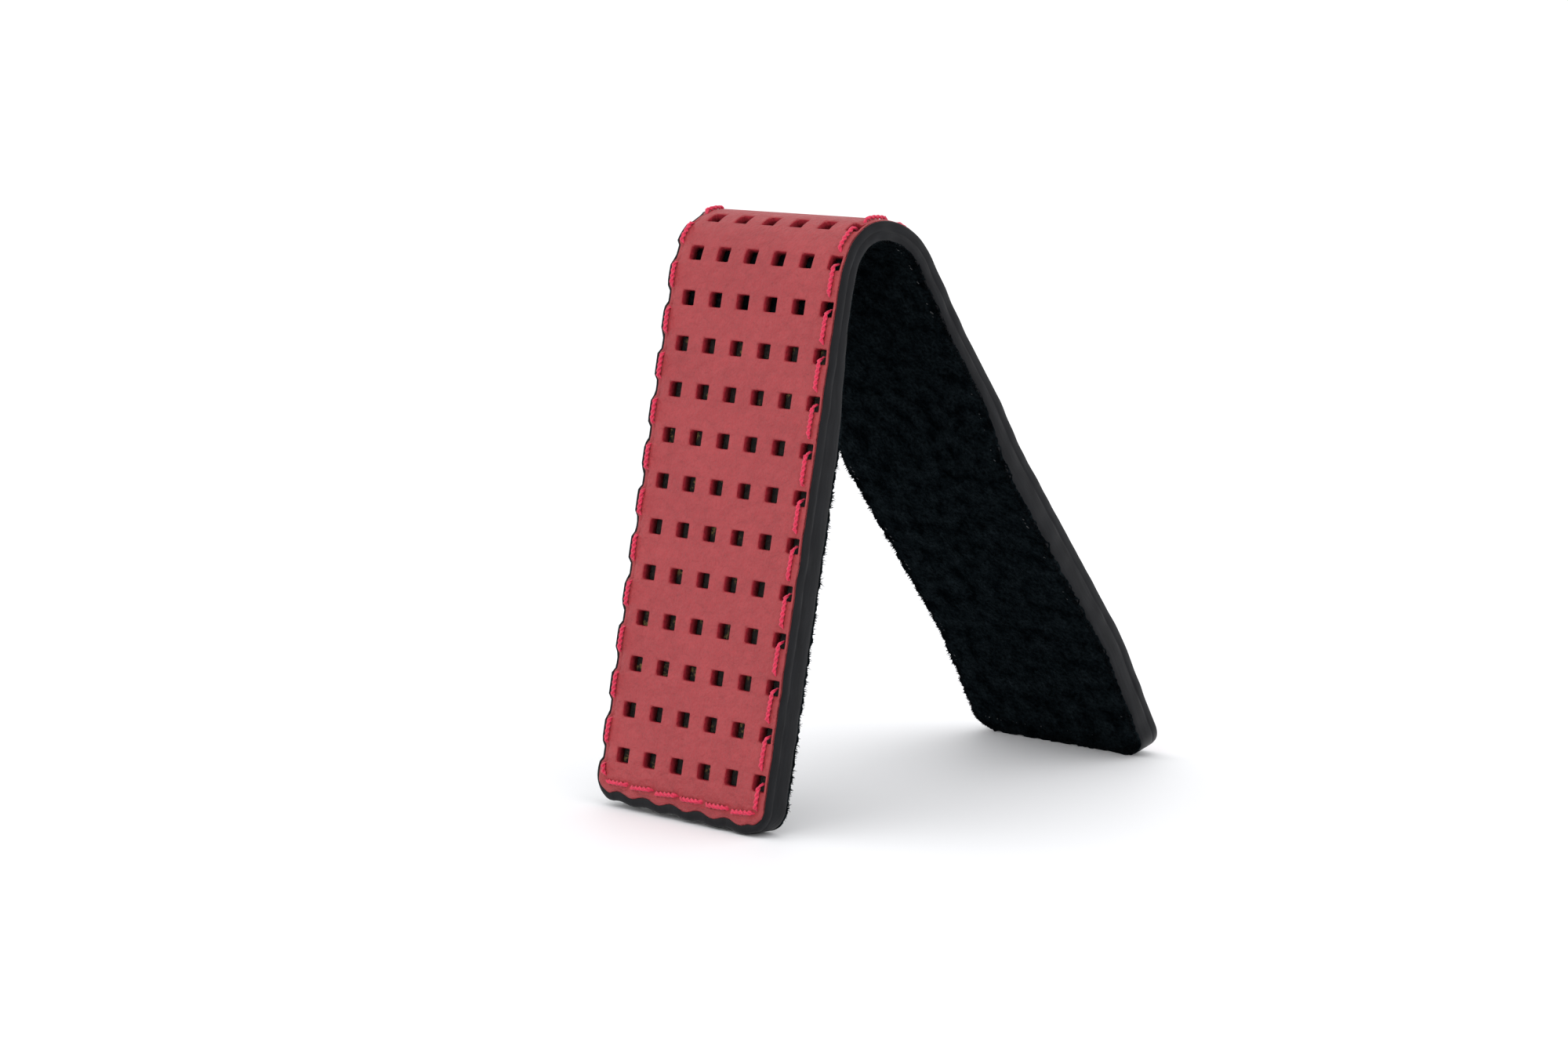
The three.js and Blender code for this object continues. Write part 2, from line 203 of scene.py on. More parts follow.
toe = stack * math.cos(front_slope)
_, _, end_y, end_z, end_slope = lay_course(steps, 0, toe, front_slope)
foot_run = (end_z - stack * math.cos(end_slope)) / math.sin(-end_slope)
steps.append((foot_run, None, 0))
centring = -(end_y + foot_run * math.cos(end_slope)) / 2
course, strap_length, _, _, _ = lay_course(steps, centring, toe, front_slope)
bend_step = course[2]
fold_station = bend_step[0] + (fold_slope - bend_step[3]) / bend_step[5] * bend_step[4]
magnet_step = course[10]


def slant(x, s, height):
    """How far a foot reaches past the square cut, most at the facing's face, the front one less at -X."""
    outer = min(1, max(0, 1 + height / stack))
    at_front = (front_slant * outer - front_skew * (0.5 - x / width)) * (1 - smooth(0, slant_length, s))
    at_back = back_slant * outer * smooth(strap_length - slant_length, strap_length, s)
    return at_back - at_front


def lay(x, s, height):
    """A flat point of the strap, its height measured out of the facing's face, laid along the course."""
    s += slant(x, s, height)
    step = next((c for c in reversed(course) if c[0] <= s), course[0])
    y, z, slope = walk(step, s - step[0])
    return Vector((x, y - height * math.sin(slope), z + height * math.cos(slope)))


filler_length = 56 * mm
skive_length = 12 * mm


def lift(s):
    """How far the filler holds the lining off the facing."""
    from_end = min(s, strap_length - s)
    share = min(1, max(0, (filler_length - from_end) / skive_length))
    return (filler_thickness + cement) * share


def lining_outside(s):
    return -(facing_thickness + cement + lift(s))


def lining_inside(s):
    return lining_outside(s) - lining_thickness


# ---------------------------------------------------------------------------
# The outline. The knife ran through a column of punched holes at -X and a row
# of them at the front foot, so the facing is notched there. The black layers
# under it are almost straight, and the four corners are round.
# ---------------------------------------------------------------------------

pitch_across = 4.26 * mm
pitch_along = 5.2 * mm
punch_across = 1.85 * mm
punch_along = 1.68 * mm
last_column = width / 2 - 1.45 * mm
first_row = 0.2 * mm
columns = [last_column - i * pitch_across for i in range(6)]
rows = [first_row + i * pitch_along for i in range(1, int((strap_length - first_row) / pitch_along) + 1)]
corner_radius = 3 * mm
side_notch = 0.55 * mm
foot_notch = 0.5 * mm
ripple = 0.12 * mm
black_share = 0.22
facing_foot_gap = 0.62 * mm
edge_inset = 0.03 * mm


def notch(value, first, pitch):
    """1 at each hole of a row or column, 0 between them, with soft shoulders."""
    off = abs((value - first + pitch / 2) % pitch - pitch / 2)
    return 1 - smooth(0.13 * pitch, 0.27 * pitch, off)


def drawn_in(x, s, share):
    """How far the outline is drawn in at a point of the edge, along X and along the strap."""
    along = smooth(2 * mm, 4 * mm, min(s, strap_length - s))
    if x < 0:
        side = side_notch * share * notch(s, first_row, pitch_along)
    else:
        side = ripple * (0.5 + noise.noise(Vector((s * 420, share, 3))))
    foot = 0
    if s < strap_length / 2:
        wave = 0.5 + 0.5 * math.cos(2 * math.pi * (x - last_column) / pitch_across)
        foot = foot_notch * share * wave * smooth(0.5 * mm, 3 * mm, width / 2 - abs(x))
    return side * along, foot


def trim(x, s, share=black_share, foot_gap=0):
    """Moves a point of a square sheet to where it lies once the corners are round and the edges notched."""
    reach_x, reach_s = width / 2 - corner_radius, strap_length / 2 - corner_radius
    a = (abs(x) - reach_x) / corner_radius
    b = (abs(s - strap_length / 2) - reach_s) / corner_radius
    side_x, side_s = math.copysign(1, x), math.copysign(1, s - strap_length / 2)
    new_x, new_s = x, s
    if a > 0 and b > 0:
        new_x = side_x * (reach_x + corner_radius * a * math.sqrt(1 - b * b / 2))
        new_s = strap_length / 2 + side_s * (reach_s + corner_radius * b * math.sqrt(1 - a * a / 2))
    in_x, in_s = drawn_in(x, s, share)
    fade = 2 * mm
    new_x -= side_x * (in_x + edge_inset) * (1 - smooth(0, fade, width / 2 - abs(x)))
    if s < strap_length / 2:
        in_s += foot_gap
    new_s -= side_s * in_s * (1 - smooth(0, fade, min(s, strap_length - s)))
    return new_x, new_s


def spaced(marks, gap):
    """Sorted marks, with evenly spaced ones added wherever two lie further apart than the gap."""
    marks = sorted(set(marks))
    lines = [marks[0]]
    for a, b in zip(marks, marks[1:]):
        count = max(1, math.ceil((b - a) / gap))
        lines += [a + (b - a) * i / count for i in range(1, count + 1)]
    return lines


def flat_sheet(x_lines, s_lines):
    """A flat grid whose lines lie where they are asked for."""
    bm = bmesh.new()
    nx, ns = len(x_lines) - 1, len(s_lines) - 1
    bmesh.ops.create_grid(bm, x_segments=nx, y_segments=ns, size=0.5)
    for v in bm.verts:
        v.co.x = x_lines[round((v.co.x + 0.5) * nx)]
        v.co.y = s_lines[round((v.co.y + 0.5) * ns)]
    return bm


def keep_flat_place(bm):
    uv = bm.loops.layers.uv.new("flat")
    for face in bm.faces:
        for loop in face.loops:
            loop[uv].uv = (loop.vert.co.x, loop.vert.co.y)


def thicken(bm, top, bottom):
    """Gives a flat sheet two faces and the wall between them, at heights that may change along it."""
    made = bmesh.ops.extrude_face_region(bm, geom=bm.faces[:])
    lower = {e for e in made["geom"] if isinstance(e, bmesh.types.BMVert)}
    for v in bm.verts:
        v.co.z = bottom(v.co.y) if v in lower else top(v.co.y)
    bmesh.ops.recalc_face_normals(bm, faces=bm.faces)


def bend_along_course(bm):
    for v in bm.verts:
        v.co = lay(*v.co)


def across_fold(piece):
    """Bakes the piece's transform into its mesh; the point it works out on the fold goes unused."""
    fold = lay(0, fold_station, lining_inside(fold_station))
    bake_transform(piece)


# ---------------------------------------------------------------------------
# Fillers. A strip of firm black leather in each leg, flesh side out, skived
# thin towards the bend. It shows at the bottom of the punched holes as a
# dark, rough ground with stray tan and green fibres.
# ---------------------------------------------------------------------------


def add_texture(tree, kind, coordinates, **values):
    node = tree.nodes.new("ShaderNodeTex" + kind)
    for name, value in values.items():
        node.inputs[name.replace("_", " ")].default_value = value
    tree.links.new(coordinates, node.inputs["Vector"])
    return node


def add_ramp(tree, value, stops):
    ramp = tree.nodes.new("ShaderNodeValToRGB")
    while len(ramp.color_ramp.elements) < len(stops):
        ramp.color_ramp.elements.new(0.5)
    for element, (position, color) in zip(ramp.color_ramp.elements, stops):
        element.position = position
        element.color = (*color, 1)
    tree.links.new(value, ramp.inputs["Fac"])
    return ramp.outputs["Color"]


def add_mix(tree, factor, a, b, blend="MIX"):
    mix = tree.nodes.new("ShaderNodeMix")
    mix.data_type = "RGBA"
    mix.blend_type = blend
    for source, socket in ((factor, mix.inputs[0]), (a, mix.inputs[6]), (b, mix.inputs[7])):
        if isinstance(source, (int, float, tuple)):
            socket.default_value = (*source, 1) if isinstance(source, tuple) else source
        else:
            tree.links.new(source, socket)
    return mix.outputs[2]


def add_bump(tree, shader, height, strength, distance):
    """Adds a layer of relief on top of what the shader already has."""
    bump = tree.nodes.new("ShaderNodeBump")
    bump.inputs["Strength"].default_value = strength
    bump.inputs["Distance"].default_value = distance
    tree.links.new(height, bump.inputs["Height"])
    before = shader.inputs["Normal"].links
    if before:
        tree.links.new(before[0].from_socket, bump.inputs["Normal"])
    tree.links.new(bump.outputs["Normal"], shader.inputs["Normal"])


def flat_place(tree):
    return tree.nodes.new("ShaderNodeTexCoord").outputs["UV"]


def object_place(tree):
    return tree.nodes.new("ShaderNodeTexCoord").outputs["Object"]


filler_black = (0.012, 0.0105, 0.010)
stray_tan = (0.42, 0.27, 0.10)
stray_green = (0.10, 0.11, 0.035)
ground_material, tree, shader = new_material("filler_leather", filler_black, 0.9)
place = flat_place(tree)
fluff = add_texture(tree, "Noise", place, Scale=1700, Detail=6, Roughness=0.7)
patches = add_texture(tree, "Noise", place, Scale=420, Detail=3)
ground = add_ramp(tree, fluff.outputs["Fac"], ((0.35, (0.004, 0.004, 0.004)), (0.7, (0.035, 0.03, 0.026))))
strays = add_ramp(tree, patches.outputs["Fac"], ((0.54, (0, 0, 0)), (0.62, (1, 1, 1))))
tint = add_mix(tree, add_texture(tree, "Noise", place, Scale=900).outputs["Fac"], stray_green, stray_tan)
flecked = add_ramp(tree, fluff.outputs["Fac"], ((0.5, (0, 0, 0)), (0.58, (1, 1, 1))))
mask = add_mix(tree, 1.0, strays, flecked, "MULTIPLY")
tree.links.new(add_mix(tree, mask, ground, tint), shader.inputs["Base Color"])
add_bump(tree, shader, fluff.outputs["Fac"], 1.0, 0.25 * mm)
pocket_clearance = 0.3 * mm
pocket_film = 0.05 * mm
magnet_thickness = 0.8 * mm
skived_lift = cement + 0.2 * mm
filler_reach = filler_length - skive_length * skived_lift / (filler_thickness + cement)


def filler_outside(s):
    return -(facing_thickness + cement)


def filler_inside(s):
    return -(facing_thickness + max(lift(s), skived_lift))


def cut_pocket(piece, magnet):
    """Sinks a round pocket for a magnet into the side of the filler that faces the lining."""
    low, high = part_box(magnet)
    centre = (low + high) / 2
    side = 1 if magnet.startswith("magnet_back") else -1
    slope = magnet_step[3] if side > 0 else front_slope
    outward = Vector((0, -math.sin(slope), math.cos(slope)))
    radius = (high - low).x / 2 + pocket_clearance
    bm = bmesh.new()
    bmesh.ops.create_cone(bm, cap_ends=True, segments=48, radius1=radius, radius2=radius, depth=stack)
    turn = outward.to_track_quat("Z", "X").to_matrix().to_4x4()
    top = centre + outward * (magnet_thickness / 2 + pocket_film)
    bmesh.ops.transform(bm, matrix=Matrix.Translation(top - outward * stack / 2) @ turn, verts=bm.verts)
    cutter = new_object("cutter", bm)
    cut = piece.modifiers.new("pocket", "BOOLEAN")
    cut.object = cutter
    cut.solver = "EXACT"
    mesh = bpy.data.meshes.new_from_object(piece.evaluated_get(bpy.context.evaluated_depsgraph_get()))
    piece.modifiers.clear()
    piece.data = mesh
    bpy.data.objects.remove(cutter)


for leg in ("front", "back"):
    ends = (0, filler_reach) if leg == "front" else (strap_length - filler_reach, strap_length)
    bm = flat_sheet(spaced([-width / 2, width / 2], 1.3 * mm), spaced(ends, 0.65 * mm))
    keep_flat_place(bm)
    thicken(bm, filler_outside, filler_inside)
    for v in bm.verts:
        v.co.x, v.co.y = trim(v.co.x, v.co.y)
    bend_along_course(bm)
    filler = new_object(f"filler_{leg}_leather", bm, ground_material)
    for level in ("lower", "upper"):
        cut_pocket(filler, f"magnet_{leg}_{level}")
    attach(filler, f"{leg}_leg")
    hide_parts(f"filler_{leg}")

# ---------------------------------------------------------------------------
# Magnets. Four thin nickel-plated discs, two in the pockets of each filler.
# Those of the two legs meet face to face when the clip shuts.
# ---------------------------------------------------------------------------

nickel_material, tree, shader = new_material("nickel_plate", (0.66, 0.66, 0.64), 0.28)
shader.inputs["Metallic"].default_value = 1.0
scuffs = add_texture(tree, "Noise", object_place(tree), Scale=900, Detail=4)
wear = tree.nodes.new("ShaderNodeMapRange")
wear.inputs["To Min"].default_value = 0.2
wear.inputs["To Max"].default_value = 0.42
tree.links.new(scuffs.outputs["Fac"], wear.inputs["Value"])
tree.links.new(wear.outputs["Result"], shader.inputs["Roughness"])
for name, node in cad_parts.items():
    if name.startswith("magnet"):
        node.data.materials.clear()
        node.data.materials.append(nickel_material)

# ---------------------------------------------------------------------------
# Facing. One piece of red grained leather over the whole strap, punched with
# oblong holes before it was cut out, and pulled down a little along the
# stitch line and at every needle hole.
# ---------------------------------------------------------------------------

stitch_side = width / 2 - 1.35 * mm
stitch_edge = width / 2 - 0.85 * mm
stitch_end = 2.2 * mm
shortest_stitch = 1.6 * mm
end_stitch = 4 * mm
end_slant = 0.11 * mm
rim = 0.2 * mm
support = 0.32 * mm


def stitches():
    """Every stitch as two flat points, once round: down the +X side, across the front foot, up and back."""
    clear = stitch_end + shortest_stitch
    side = [s for s in rows if clear < s < strap_length - clear]
    made = []
    beside, over = 0.12 * mm, 0.3 * mm
    for low, high in zip(side, side[1:]):
        made.append((stitch_side + beside, high + 0.1 * mm, stitch_side, low + punch_along / 2 + over))
        made.append((-stitch_edge, low + 0.8 * mm, -stitch_edge, high - 0.95 * mm))
    made.append((stitch_side + beside, side[0] + 0.1 * mm, stitch_side, stitch_end + 0.15 * mm))
    made.append((-stitch_edge, side[0] - 0.95 * mm, -stitch_side, stitch_end + 0.3 * mm))
    made.append((stitch_side, side[-1] + 0.2 * mm, stitch_side, strap_length - stitch_end))
    made.append((-stitch_edge, side[-1] + 0.8 * mm, -stitch_side, strap_length - stitch_end))
    count = round(2 * stitch_side / end_stitch)
    for end in (stitch_end, strap_length - stitch_end):
        for i in range(count):
            a, b = (stitch_side * (2 * k / count - 1) for k in (i + 0.02, i + 0.98))
            made.append((a, end - end_slant, b, end + end_slant))
    return made


stitched = stitches()
needles = [(x, s) for ax, a_s, bx, b_s in stitched for x, s in ((ax, a_s), (bx, b_s))]


def pull(x, s):
    """How deep the leather's face is pulled down at a flat point by the stitching."""
    from_end = min(s, strap_length - s)
    line = math.inf
    if from_end > stitch_end:
        line = abs(abs(x) - (stitch_side if x > 0 else stitch_edge))
    elif abs(x) < stitch_side:
        line = abs(from_end - stitch_end)
    depth = 0.10 * mm * math.exp(-((line / (0.45 * mm)) ** 2))
    for nx, ns in needles:
        if abs(ns - s) < 1.6 * mm and abs(nx - x) < 1.6 * mm:
            gap = math.hypot(nx - x, ns - s)
            depth += 0.20 * mm * math.exp(-((gap / (0.42 * mm)) ** 2))
    edge = min(width / 2 - abs(x), from_end)
    return depth + 0.25 * mm * (1 - smooth(0, 0.8 * mm, edge)) ** 2


def in_hole(x, s):
    across = min(abs(x - c) for c in columns)
    along = min(abs(s - r) for r in rows)
    return across < punch_across / 2 and along < punch_along / 2


x_marks = [-width / 2, width / 2]
for c in columns:
    for off in (punch_across / 2, punch_across / 2 + support):
        x_marks += [x for x in (c - off, c + off) if abs(x) < width / 2 - 0.3 * mm]
for side in (-1, 1):
    line = stitch_side if side > 0 else stitch_edge
    x_marks += [side * (line + off * mm) for off in (-0.75, -0.4, 0.0, 0.35)]
    x_marks += [side * (width / 2 - off * mm) for off in (0.15, 0.32)]
s_marks = [0, strap_length, 0.15 * mm, strap_length - 0.15 * mm, 0.32 * mm, strap_length - 0.32 * mm]
for off in (-0.75, -0.4, 0, 0.4, 0.75):
    s_marks += [stitch_end + off * mm, strap_length - stitch_end - off * mm]
for r in rows:
    for off in (punch_along / 2, punch_along / 2 + support):
        s_marks += [s for s in (r - off, r + off) if 0.4 * mm < s < strap_length - 0.4 * mm]


def thinned(marks, closest):
    kept = []
    for m in sorted(marks):
        if not kept or m - kept[-1] > closest:
            kept.append(m)
    return kept


bm = flat_sheet(spaced(thinned(x_marks, 0.04 * mm), 0.8 * mm), spaced(thinned(s_marks, 0.04 * mm), 0.6 * mm))
punched = [f for f in bm.faces if in_hole(f.calc_center_median().x, f.calc_center_median().y)]
bmesh.ops.delete(bm, geom=punched, context="FACES")
keep_flat_place(bm)
made = bmesh.ops.extrude_face_region(bm, geom=bm.faces[:])
lower = {e for e in made["geom"] if isinstance(e, bmesh.types.BMVert)}
for v in lower:
    v.co.z = -facing_thickness
bmesh.ops.recalc_face_normals(bm, faces=bm.faces)
rims = [e for e in bm.edges if e.calc_face_angle() > 1 and max(v.co.z for v in e.verts) == 0]
bmesh.ops.bevel(bm, geom=rims, offset=rim, segments=3, profile=0.5, affect="EDGES", material=-1)
for face in bm.faces:
    face.material_index = 0 if face.normal.z > 0.5 else 1
for v in bm.verts:
    x, s = v.co.x, v.co.y
    share = smooth(-facing_thickness, 0, v.co.z)
    v.co.z -= pull(x, s) * share
    v.co.x, v.co.y = trim(x, s, 1, facing_foot_gap)
bend_along_course(bm)

leather_red = (0.355, 0.030, 0.037)
leather_deep = (0.27, 0.020, 0.026)
leather_pale = (0.43, 0.050, 0.056)
red_material, tree, shader = new_material("red_leather", leather_red, 0.5)
place = flat_place(tree)
clouds = add_texture(tree, "Noise", place, Scale=90, Detail=4, Roughness=0.55)
grain = add_texture(tree, "Voronoi", place, Scale=1500)
pores = add_texture(tree, "Noise", place, Scale=3000, Detail=3, Roughness=0.6)
creases = add_texture(tree, "Noise", place, Scale=650, Detail=6, Roughness=0.7, Distortion=0.9)
tone = add_ramp(tree, clouds.outputs["Fac"], ((0.3, leather_deep), (0.5, leather_red), (0.72, leather_pale)))
soft_tone = add_mix(tree, 0.35, leather_red, tone)
speck = add_ramp(tree, pores.outputs["Fac"], ((0.3, (0.72, 0.72, 0.72)), (0.5, (1, 1, 1))))
tree.links.new(add_mix(tree, 0.6, soft_tone, speck, "MULTIPLY"), shader.inputs["Base Color"])
gloss = tree.nodes.new("ShaderNodeMapRange")
gloss.inputs["To Min"].default_value = 0.42
gloss.inputs["To Max"].default_value = 0.62
tree.links.new(creases.outputs["Fac"], gloss.inputs["Value"])
tree.links.new(gloss.outputs["Result"], shader.inputs["Roughness"])
add_bump(tree, shader, grain.outputs["Distance"], 0.6, 0.18 * mm)
add_bump(tree, shader, pores.outputs["Fac"], 0.6, 0.14 * mm)
add_bump(tree, shader, creases.outputs["Fac"], 0.8, 0.45 * mm)

wall_material, tree, shader = new_material("punched_wall", (0.34, 0.020, 0.034), 0.9)
shader.inputs["Specular IOR Level"].default_value = 0.15
fibres = add_texture(tree, "Noise", object_place(tree), Scale=2600, Detail=5, Roughness=0.7)
wall_tone = add_ramp(tree, fibres.outputs["Fac"], ((0.3, (0.18, 0.010, 0.017)), (0.7, (0.46, 0.030, 0.048))))
tree.links.new(wall_tone, shader.inputs["Base Color"])
add_bump(tree, shader, fibres.outputs["Fac"], 0.8, 0.1 * mm)

facing = new_object("facing", bm, red_material, wall_material)
across_fold(facing)
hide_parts("facing_front", "facing_back")

# ---------------------------------------------------------------------------
# Lining. One piece of black suede, nap inwards. Its napped face is uneven,
# brushed in patches that catch the light differently.
# ---------------------------------------------------------------------------

suede_material, tree, shader = new_material("black_suede", (0.0022, 0.0036, 0.0045), 1.0)
place = flat_place(tree)
brushed = add_texture(tree, "Noise", place, Scale=420, Detail=5, Roughness=0.7)
nap = add_texture(tree, "Noise", place, Scale=2300, Detail=4, Roughness=0.7)
patch_dark = (0.0010, 0.0018, 0.0024)
patch_light = (0.0080, 0.0115, 0.0135)
patch_tone = add_ramp(tree, brushed.outputs["Fac"], ((0.38, patch_dark), (0.68, patch_light)))
nap_tone = add_ramp(tree, nap.outputs["Fac"], ((0.35, (0.35, 0.35, 0.35)), (0.7, (1.9, 1.9, 1.9))))
tree.links.new(add_mix(tree, 1.0, patch_tone, nap_tone, "MULTIPLY"), shader.inputs["Base Color"])
shader.inputs["Specular IOR Level"].default_value = 0.0
add_bump(tree, shader, nap.outputs["Fac"], 1.0, 0.3 * mm)
add_bump(tree, shader, brushed.outputs["Fac"], 0.6, 0.5 * mm)

bm = flat_sheet(spaced([-width / 2, width / 2], 0.5 * mm), spaced([0, strap_length], 0.3 * mm))
keep_flat_place(bm)
thicken(bm, lining_outside, lining_inside)
for v in bm.verts:
    x, s = v.co.x, v.co.y
    inner = v.co.z < (lining_outside(s) + lining_inside(s)) / 2
    if inner:
        v.co.z += 0.12 * mm * noise.noise(Vector((x, s, 0)) * 1400)
        edge = min(width / 2 - abs(x), s, strap_length - s)
        border = (1 - smooth(0, 0.9 * mm, edge)) ** 2
        ragged = noise.noise(Vector((x, s, 1)) * 2300) + 0.7 * noise.noise(Vector((x, s, 2)) * 900)
        v.co.z += (0.08 + 0.4 * ragged) * mm * border
    v.co.x, v.co.y = trim(x, s)
    if inner:
        v.co.x += math.copysign(1, x) * (0.08 + 0.10 * ragged) * mm * border
bend_along_course(bm)
lining = new_object("lining", bm, suede_material)
across_fold(lining)
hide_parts("lining_front", "lining_back")

# ---------------------------------------------------------------------------
# Stitching. Machine lockstitch in a bright red waxed thread outside and a
# black one inside, one stitch from each row of holes to the next, with each
# stitch lying a little askew and diving into the leather at its ends.
# ---------------------------------------------------------------------------

strand_sides = 6
strand_rings = 14
strand_radius = 0.165 * mm
ply_offset = 0.13 * mm
twist_length = 1.25 * mm


def sew(name, height_of, dive, material, seed):
    """A two-ply thread sewn through every needle hole, as one mesh of twisted strands."""
    rng = random.Random(seed)
    bm = bmesh.new()
    for ax, a_s, bx, b_s in stitched:
        length = math.hypot(bx - ax, b_s - a_s)
        along = Vector(((bx - ax) / length, (b_s - a_s) / length))
        beside = Vector((-along.y, along.x))
        askew = rng.uniform(-0.07, 0.07) * mm
        slack = rng.uniform(-0.02, 0.04) * mm
        phase = rng.uniform(0, 2 * math.pi)
        for ply in (0, math.pi):
            before = set(bm.verts)
            bmesh.ops.create_grid(bm, x_segments=strand_rings, y_segments=strand_sides, size=0.5)
            new = [v for v in bm.verts if v not in before]
            for v in new:
                t, around = v.co.x + 0.5, (v.co.y + 0.5) * 2 * math.pi
                ends = min(t, 1 - t) * length
                climb = smooth(-0.1 * mm, 0.55 * mm, ends)
                turn = phase + ply + t * length / twist_length * 2 * math.pi
                off = ply_offset * math.cos(turn) + strand_radius * math.cos(around)
                up = ply_offset * math.sin(turn) + strand_radius * math.sin(around)
                off += askew * (2 * t - 1)
                spot = Vector((ax, a_s)) + along * (t * length) + beside * off
                base = height_of(spot.x, spot.y) + (1 - climb) * dive + slack * math.sin(math.pi * t)
                v.co = (spot.x, spot.y, base + math.copysign(1, -dive) * up)
            bmesh.ops.remove_doubles(bm, verts=new, dist=0.004 * mm)
    bmesh.ops.holes_fill(bm, edges=[e for e in bm.edges if e.is_boundary])
    bmesh.ops.recalc_face_normals(bm, faces=bm.faces)
    keep_flat_place(bm)
    for v in bm.verts:
        v.co.x, v.co.y = trim(v.co.x, v.co.y)
    bend_along_course(bm)
    return new_object(name, bm, material)


def thread_material(name, color, sheen):
    material, tree, shader = new_material(name, color, 0.55)
    lint = add_texture(tree, "Noise", object_place(tree), Scale=5200, Detail=4, Roughness=0.7)
    dark = tuple(0.45 * c for c in color)
    tone = add_ramp(tree, lint.outputs["Fac"], ((0.3, dark), (0.6, color)))
    tree.links.new(tone, shader.inputs["Base Color"])
    shader.inputs["Sheen Weight"].default_value = sheen
    shader.inputs["Sheen Roughness"].default_value = 0.4
    add_bump(tree, shader, lint.outputs["Fac"], 0.7, 0.05 * mm)
    return material


thread_red = (0.78, 0.020, 0.085)
outside = sew(
    "needle_thread",
    lambda x, s: 0.17 * mm - pull(x, s) * 0.6,
    -0.85 * mm,
    thread_material("red_thread", thread_red, 0.25),
    7,
)
across_fold(outside)
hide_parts("needle_thread_front", "needle_thread_back")

inside = sew(
    "bobbin_thread",
    lambda x, s: lining_inside(s) + 0.26 * mm,
    0.5 * mm,
    thread_material("black_thread", (0.008, 0.009, 0.011), 0.1),
    8,
)
across_fold(inside)
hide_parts("bobbin_thread_front", "bobbin_thread_back")

# ---------------------------------------------------------------------------
# Edge. Black edge paint, rubbed down and burnished in several coats, wraps
# the cut edge of all three layers. The seam under the facing still shows as
# a shallow line, and the scalloped side keeps its waves.
# ---------------------------------------------------------------------------

paint_black = (0.006, 0.006, 0.0072)
edge_material, tree, shader = new_material("edge_paint", paint_black, 0.4)
place = flat_place(tree)
stretched = tree.nodes.new("ShaderNodeMapping")
stretched.inputs["Scale"].default_value = (1, 0.12, 1)
tree.links.new(place, stretched.inputs["Vector"])
rubbed = add_texture(tree, "Noise", stretched.outputs["Vector"], Scale=1500, Detail=5, Roughness=0.6)
paint_dark = (0.003, 0.0032, 0.0042)
paint_light = (0.009, 0.0095, 0.0115)
paint_tone = add_ramp(tree, rubbed.outputs["Fac"], ((0.3, paint_dark), (0.7, paint_light)))
tree.links.new(paint_tone, shader.inputs["Base Color"])
shader.inputs["Specular IOR Level"].default_value = 0.13
shine = tree.nodes.new("ShaderNodeMapRange")
shine.inputs["To Min"].default_value = 0.3
shine.inputs["To Max"].default_value = 0.5
tree.links.new(rubbed.outputs["Fac"], shine.inputs["Value"])
tree.links.new(shine.outputs["Result"], shader.inputs["Roughness"])
add_bump(tree, shader, rubbed.outputs["Fac"], 0.35, 0.12 * mm)

# The section of the paint: how far out it stands in mm, its share of the way from the facing's
# face to the seam (0 to 1) and from the seam to the suede (1 to 2), and how far it follows the
# nose of the foot.
section = [
    (-0.45, 0.40, 1), (-0.12, 0.17, 1), (-0.02, 0.15, 0.85), (0.04, 0.19, 0.5), (0.08, 0.28, 0.22),
    (0.11, 0.41, 0.05), (0.135, 0.58, 0), (0.14, 0.78, 0), (0.125, 0.93, 0), (0.09, 1.00, 0),
    (0.12, 1.05, 0), (0.14, 1.13, 0), (0.165, 1.30, 0), (0.17, 1.50, 0), (0.15, 1.68, 0),
    (0.09, 1.82, 0), (-0.02, 1.91, 0), (-0.14, 1.95, 0), (-0.50, 1.80, 0),
]
nose_reach = 0.8 * mm
build_up = 0.12 * mm


def outline_points():
    """The trimmed outline as (x, s, outward x, outward s), once round the strap."""
    step = 0.6 * mm
    half = width / 2
    points = []
    for s in spaced([corner_radius, strap_length - corner_radius], step)[:-1]:
        points.append((half, s, 1, 0))
    corner_steps = 12
    for side, end, start in ((1, 1, 0), (-1, 1, 90), (-1, -1, 180), (1, -1, 270)):
        cx = side * (half - corner_radius)
        cs = strap_length - corner_radius if end > 0 else corner_radius
        for i in range(corner_steps):
            a = math.radians(start + 90 * i / corner_steps)
            out_x, out_s = math.cos(a), math.sin(a)
            points.append((cx + corner_radius * out_x, cs + corner_radius * out_s, out_x, out_s))
        if start == 0:
            points += [(x, strap_length, 0, 1) for x in spaced([-cx, cx], step)[::-1][:-1]]
        elif start == 90:
            sides = spaced([corner_radius, strap_length - corner_radius], step)[::-1][:-1]
            points += [(-half, s, -1, 0) for s in sides]
        elif start == 180:
            points += [(x, 0, 0, -1) for x in spaced([cx, -cx], step)[:-1]]
    return points


def paint_height(s, share):
    seam = -(facing_thickness + cement / 2)
    if share < 1:
        return seam * share
    return seam + (lining_inside(s) - seam) * (share - 1)


